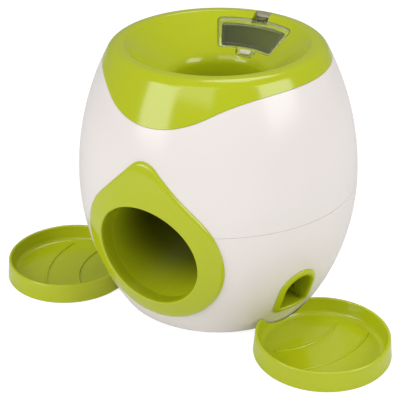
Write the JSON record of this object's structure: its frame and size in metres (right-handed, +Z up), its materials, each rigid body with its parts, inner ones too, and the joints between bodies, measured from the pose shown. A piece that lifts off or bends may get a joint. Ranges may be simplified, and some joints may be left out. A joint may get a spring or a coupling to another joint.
{
  "type": "pet treat dispenser",
  "caption": "Egg-shaped dog treat dispenser: a ball dropped in the bowl turns a paddle wheel, rolls out of the front ring and drops treats in the side trays.",
  "frame": {"origin": "floor level, on the axis of the round body", "axes": "+Z up, the ball leaves towards -Y, the treat hopper is at +Y, the trays lie along X"},
  "size_m": [0.405, 0.2618, 0.25],
  "materials": {
    "white_shell": "glossy",
    "lime_plastic": "glossy",
    "clear_plastic": "clear",
    "inner_plastic": "matte",
    "steel": "satin",
    "rubber": "matte"
  },
  "bodies": {
    "housing": {"lower_housing": "white_shell", "upper_housing": "white_shell", "top_bowl": "lime_plastic", "front_ring": "lime_plastic", "right_ball_tunnel": "lime_plastic", "left_ball_tunnel": "lime_plastic", "drop_tube": "lime_plastic", "treat_hopper": "lime_plastic", "right_drum_case": "lime_plastic", "left_drum_case": "lime_plastic", "right_port_bezel": "lime_plastic", "left_port_bezel": "lime_plastic", "right_treat_chute": "lime_plastic", "left_treat_chute": "lime_plastic", "rubber_feet": "rubber", "housing_screws": "steel", "hopper_screws": "steel"},
    "ball_wheel": {"paddle_wheel": "lime_plastic", "wheel_shaft": "steel", "right_dosing_drum": "inner_plastic", "left_dosing_drum": "inner_plastic", "shaft_clips": "steel"},
    "lid": {"hopper_lid": "clear_plastic", "lid_hinge_pin": "steel"},
    "right_tray_body": {"right_tray": "lime_plastic"},
    "left_tray_body": {"left_tray": "lime_plastic"}
  },
  "joints": [
    {"name": "wheel_turn", "type": "hinge", "parent": "housing", "child": "ball_wheel", "pos_m": [0, 0.066, 0.12], "axis": [1, 0, 0], "continuous": true},
    {"name": "lid_swing", "type": "hinge", "parent": "housing", "child": "lid", "pos_m": [0, 0.088, 0.2463], "axis": [-1, 0, 0], "range_deg": [0, 105]},
    {"name": "right_tray_pull", "type": "slide", "parent": "housing", "child": "right_tray_body", "axis": [0.9239, -0.3827, 0], "range_m": [0, 0.03]},
    {"name": "left_tray_pull", "type": "slide", "parent": "housing", "child": "left_tray_body", "axis": [-0.9239, -0.3827, 0], "range_m": [0, 0.03]}
  ]
}
